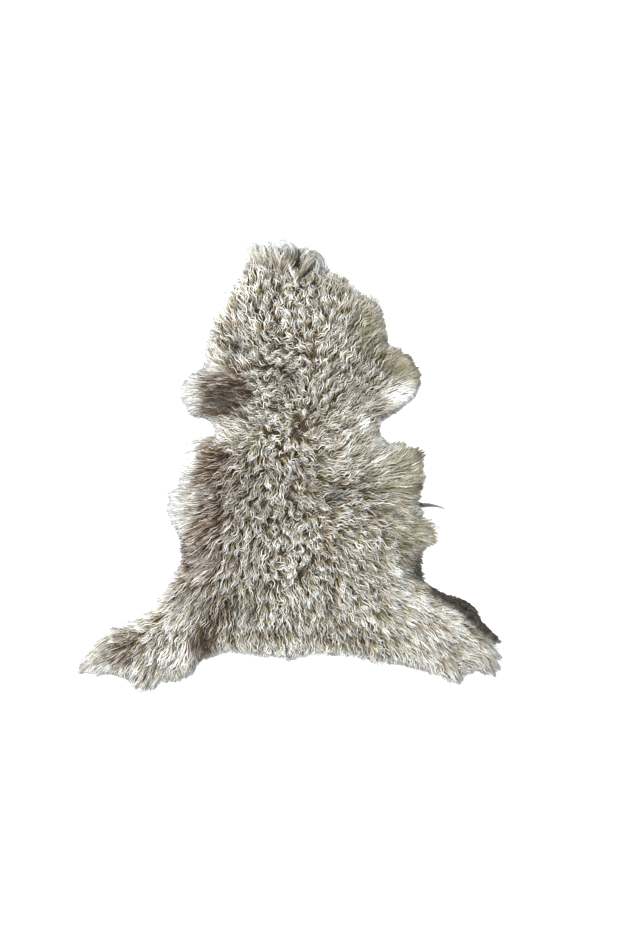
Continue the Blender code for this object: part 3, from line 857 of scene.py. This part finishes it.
def tint_wisps(places, lines, wool, high, ground, chance):
    """The shares of each tint and the tone along every wisp, and how light it is, painted shade and light
    included.
    """
    size = lines.shape[:2]
    tints = {}
    for key in SHARES:
        share = ground.over(ground.patch[key], lines)
        stray = LOCK_TINT * chance.normal(size=(size[0], 1)) + WISP_TINT * chance.normal(size=size)
        tints[key] = np.clip(share + stray[:, :, None] * (0.1 + share), 0, 1)
    # Painted shade at the outline: cool on the left, dusky on the right, where the rim turns away from the
    # light
    rim = np.clip(1 - ground.over(ground.outline, lines) / RIM_SHADE, 0, 1)
    side = np.clip(lines[..., 0] / SHADED_SIDE, 0, 1) ** 2
    tints["dusky_wool_and_shade"] = np.maximum(tints["dusky_wool_and_shade"], SHADED_SHARE * rim * side)
    tints["rim"] = rim * (1 - side) * (1 - tints["dusky_wool_and_shade"])
    along = np.linspace(0, 1, lines.shape[2])
    pale = ground.over(ground.pale, lines)
    # Painted shade: wisps that lie low in the pile get a lower tone, as if shaded by those above
    low = 0.4 * np.clip(1 - high, 0, 1)[:, :, None]
    tints["tone"] = 1 - wool["depth"][:, None, None] * (1 - along + low) * (1 - 0.6 * np.minimum(1, pale))
    # Painted shade and light: darker in the solid's hollows and on low wisps, lighter on crests and high
    # wisps
    relief = ground.over(ground.relief, places) / RELIEF_STEP
    light = 0.3 * wool["light"] + 0.55 * np.clip(relief, -1.5, 1.5)
    light = (light[:, None] + 1.5 * (high - 0.95) + 1.4 * chance.normal(size=size)) * wool["depth"][:, None]
    tints["light"] = light[:, :, None] + pale * np.ones(lines.shape[2])
    return tints


def stand_for_fleece(obj):
    """Puts a finished piece in the fleece's place: it rides where the fleece does."""
    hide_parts("fleece")
    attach(obj, "root")
    return obj


def wool_piece(name, mesh, material):
    """Puts a mesh of wisps into the scene for the fleece."""
    mesh.materials.append(material)
    return stand_for_fleece(put(name, mesh))


def add_single(name, drawn, tone, light, ground, chance, material):
    """Tufts and strands drawn one by one, in the colours of the wool around them."""
    lines, wide = drawn
    tints = {key: ground.over(ground.patch[key], lines) for key in SHARES}
    along = np.linspace(0, 1, lines.shape[1])
    # Painted cool shade on the tips at the outline, weaker than on the locks
    rim = 0.6 - ground.over(ground.outline, lines) / RIM_SHADE
    tints["rim"] = np.clip(rim, 0, 0.15) * (1 - tints["dusky_wool_and_shade"])
    tints["tone"] = tone + (SINGLE_TIP - tone) * along**0.8 * np.ones((len(lines), 1))
    tints["light"] = light + 1.5 * chance.normal(size=(len(lines), 1)) + ground.over(ground.pale, lines)
    return wool_piece(name, wisp_mesh(name, lines, wide, tints), material)


def grow_piece(name, places, wool, size, taper, ground, chance, material):
    """One piece of combed wool, and the places that its wisps pass through."""
    wisps, rings = size
    lines, scale, high = make_wisps(places, wool, wisps, rings, ground, chance)
    tints = tint_wisps(places, lines, wool, high, ground, chance)
    tints = {key: values.reshape(-1, rings + 1) for key, values in tints.items()}
    wide = wool["fine"][:, None] * (1 - taper + taper * scale) * chance.uniform(*WISP_VARIES, scale.shape)
    mesh = wisp_mesh(name, lines.reshape(-1, rings + 1, 3), wide.ravel(), tints)
    return wool_piece(name, mesh, material), lines[:, :, 1:].reshape(-1, 3)


def add_wool(ground, table, material):
    """All locks of the fleece, a piece for each named part of the skin, and what fills and tops them."""
    chance = np.random.default_rng(SEED)
    places = scatter_locks(ground, chance)
    weights = patch_weights(table, places)
    wool = comb_locks(places, ground, weights, table, chance)
    names = np.array([part for part, patches in WOOL_PATCHES for _ in patches])
    parts = names[weights.argmax(1)]
    made = []
    drawn = []
    for part, size in PIECE_WISPS.items():
        chosen = parts == part
        own = {key: values[chosen] for key, values in wool.items()}
        obj, passed = grow_piece("wool_" + part, places[chosen], own, size, TAPER, ground, chance, material)
        made.append(obj)
        drawn.append(passed)
    places = thin_places(np.concatenate(drawn), ground, chance)
    wool = comb_locks(places, ground, patch_weights(table, places), table, chance)
    wool["heading"] = chance.uniform(0, 2 * math.pi, len(places))
    wool["length"] *= FILL_LENGTH
    wool["lift"] *= FILL_LIFT
    # Painted shade: the filling locks in the gaps are darker
    wool["light"] += FILL_LIGHT
    made.append(grow_piece("wool_undercoat", places, wool, FILL_SIZE, 0, ground, chance, material)[0])
    drawn = draw_tufts(ground, chance)
    made.append(add_single("wool_tufts", drawn, TUFT_TONE, TUFT_LIGHT, ground, chance, material))
    drawn = draw_stray(chance)
    made.append(add_single("wool_stray_strand", drawn, STRAY_TONE, STRAY_LIGHT, ground, chance, material))
    return made


def add_underwool(hide, ground, material):
    """The matted mass that the locks stand in: the hide's outline grown up to the ground of the locks."""
    shape = bmesh.new()
    shape.from_mesh(hide.data)
    bmesh.ops.remove_doubles(shape, verts=shape.verts, dist=1e-5)
    low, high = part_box("hide")
    rest = high.z + UNDER_GAP
    for vert in shape.verts:
        vert.co.z = rest if vert.co.z < (low.z + high.z) / 2 else rest + UNDER_HIGH
    mesh = bpy.data.meshes.new("underwool")
    shape.to_mesh(mesh)
    shape.free()
    obj = put("underwool", mesh)
    remesh = obj.modifiers.new("remesh", "REMESH")
    remesh.mode = "VOXEL"
    remesh.voxel_size = UNDER_VOXEL
    bpy.ops.object.select_all(action="DESELECT")
    bpy.context.view_layer.objects.active = obj
    obj.select_set(True)
    bpy.ops.object.modifier_apply(modifier="remesh")
    mesh = obj.data
    co = np.zeros(len(mesh.vertices) * 3, np.float32)
    mesh.vertices.foreach_get("co", co)
    co = co.reshape(-1, 3)
    x, y = co[:, 0], co[:, 1]
    share = np.clip((co[:, 2] - rest) / UNDER_HIGH, 0, 1)
    top = ground.read(ground.height, x, y)
    lumps = swirl(co[:, :2], LUMP_SIZE, LUMP_SWIRL) * LUMP_HIGH
    inside = np.clip(ground.read(ground.inside, x, y) / LUMP_EDGE, 0, 1)
    co[:, 2] = rest + share * (np.maximum(top - rest, UNDER_LEAST) + lumps * inside)
    mesh.vertices.foreach_set("co", co.ravel())
    mesh.update()
    mesh.shade_smooth()
    # The dusky share carries painted shade in the hollows and on the right rims
    carried = {key: ground.read(ground.patch[key], x, y) for key in SHARES}
    carried["rim"] = np.zeros(len(co))
    # A low tone, darkest where the wool is deepest: painted shade under the locks
    carried["tone"] = 0.55 - 0.55 * ground.read(ground.patch["depth"], x, y)
    for key, values in carried.items():
        layer = mesh.attributes.new(key, "FLOAT", "POINT")
        layer.data.foreach_set("value", values.astype(np.float32))
    mesh.materials.clear()
    mesh.materials.append(material)
    return stand_for_fleece(obj)


def dress_hide(hide):
    hide.data.materials.clear()
    hide.data.materials.append(suede())


def add_floor():
    """A plain matte white floor, just under the sheepskin."""
    bpy.ops.mesh.primitive_plane_add(size=FLOOR_SIZE, location=(0, 0, -FLOOR_UNDER))
    floor = bpy.context.object
    floor.name = "floor"
    made = new_material("matte_white_floor")
    shader = add_node(made, "BsdfPrincipled", {}, {"Base Color": linear("#f4f4f3"), "Roughness": 0.9})
    add_node(made, "OutputMaterial", links={"Surface": (shader, "BSDF")})
    floor.data.materials.append(made)


def add_light(name, place, size, power):
    """A square soft light that shines at the middle of the sheepskin."""
    data = bpy.data.lights.new(name, "AREA")
    data.size = size
    data.energy = power
    lamp = put(name, data)
    lamp.location = place
    lamp.rotation_euler = (-Vector(place)).to_track_quat("-Z", "Y").to_euler()


def add_lights():
    """A soft key from the neck's left, as in the photograph, and an even sky over everything."""
    add_light("key", (-2.7, 1.6, 4.7), size=1.4, power=665)
    add_light("overhead", (0.3, -0.3, 3.2), size=2.0, power=45)
    world = bpy.data.worlds.new("studio")
    world.use_nodes = True
    world.node_tree.nodes["Background"].inputs["Color"].default_value = linear("#eff1f4")
    world.node_tree.nodes["Background"].inputs["Strength"].default_value = 0.55
    bpy.context.scene.world = world
    bpy.context.scene.view_settings.view_transform = "Standard"


def add_camera():
    """Straight above, so far off that one pixel of the photograph's frame is one pixel of the sheepskin."""
    data = bpy.data.cameras.new("camera")
    data.lens = 60.0
    data.sensor_width = 36.0
    camera = put("camera", data)
    distance = PHOTO_HIGH * PIXEL * data.lens / data.sensor_width
    beside = (PHOTO_WIDE / 2 - SKIN_CENTRE_PX[0]) * PIXEL
    below = (SKIN_CENTRE_PX[1] - PHOTO_HIGH / 2) * PIXEL
    camera.location = (beside, below, distance + 20 * MM)
    bpy.context.scene.camera = camera


def main():
    """Dresses the CAD nodes and sets the stage."""
    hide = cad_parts["hide"]
    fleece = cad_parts["fleece"]
    add_camera()
    table = patch_table()
    ground = Ground(hide, fleece, table)
    wool = [add_underwool(hide, ground, underwool())]
    wool += add_wool(ground, table, lambswool())
    dress_hide(hide)
    add_floor()
    add_lights()


main()
